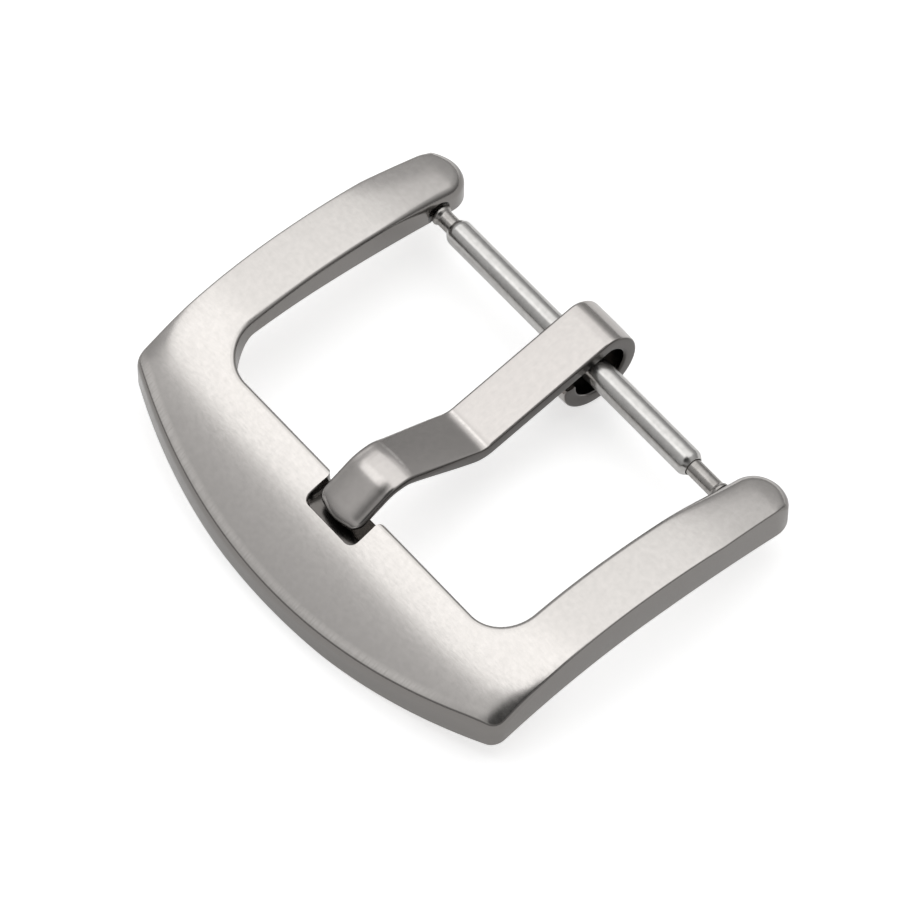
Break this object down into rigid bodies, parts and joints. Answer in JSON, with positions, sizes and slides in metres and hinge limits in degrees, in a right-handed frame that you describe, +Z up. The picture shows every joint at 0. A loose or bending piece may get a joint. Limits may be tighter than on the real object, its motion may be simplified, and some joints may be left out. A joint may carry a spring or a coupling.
{
  "type": "watch buckle",
  "caption": "Arched satin steel tang buckle with a hinged tongue and a sprung strap bar, for fastening a watch strap.",
  "frame": {"origin": "middle of the strap bar's axis, halfway between the two arms", "axes": "+X along the strap bar, +Y from the front bar to the strap bar and the strap, +Z up, away from the wrist"},
  "size_m": [0.0284, 0.0229, 0.0054],
  "materials": {
    "frame_steel": "satin brushed",
    "tongue_steel": "fine satin, half polished",
    "bar_steel": "polished",
    "tip_steel": "turned, with fine lathe marks",
    "spring_steel": "drawn wire"
  },
  "bodies": {
    "frame": {"buckle_frame": "frame_steel"},
    "tongue": {"tongue": "tongue_steel"},
    "bar": {"bar_tube": "bar_steel", "bar_spring": "spring_steel"},
    "tip_left": {"bar_tip_left": "tip_steel"},
    "tip_right": {"bar_tip_right": "tip_steel"}
  },
  "joints": [
    {"name": "tongue_hinge", "type": "hinge", "parent": "frame", "child": "tongue", "pos_m": [0, 0, 0], "axis": [-1, 0, 0], "range_deg": [0, 180]},
    {"name": "bar_spin", "type": "hinge", "parent": "frame", "child": "bar", "pos_m": [0, 0, 0], "axis": [1, 0, 0], "continuous": true},
    {"name": "tip_left_press", "type": "slide", "parent": "bar", "child": "tip_left", "axis": [1, 0, 0], "range_m": [0, 0.00085], "stiffness_N_per_m": 800, "springref_m": -0.002, "deforming": ["bar_spring"]},
    {"name": "tip_right_press", "type": "slide", "parent": "bar", "child": "tip_right", "axis": [-1, 0, 0], "range_m": [0, 0.00085], "stiffness_N_per_m": 800, "springref_m": -0.002, "deforming": ["bar_spring"]}
  ]
}
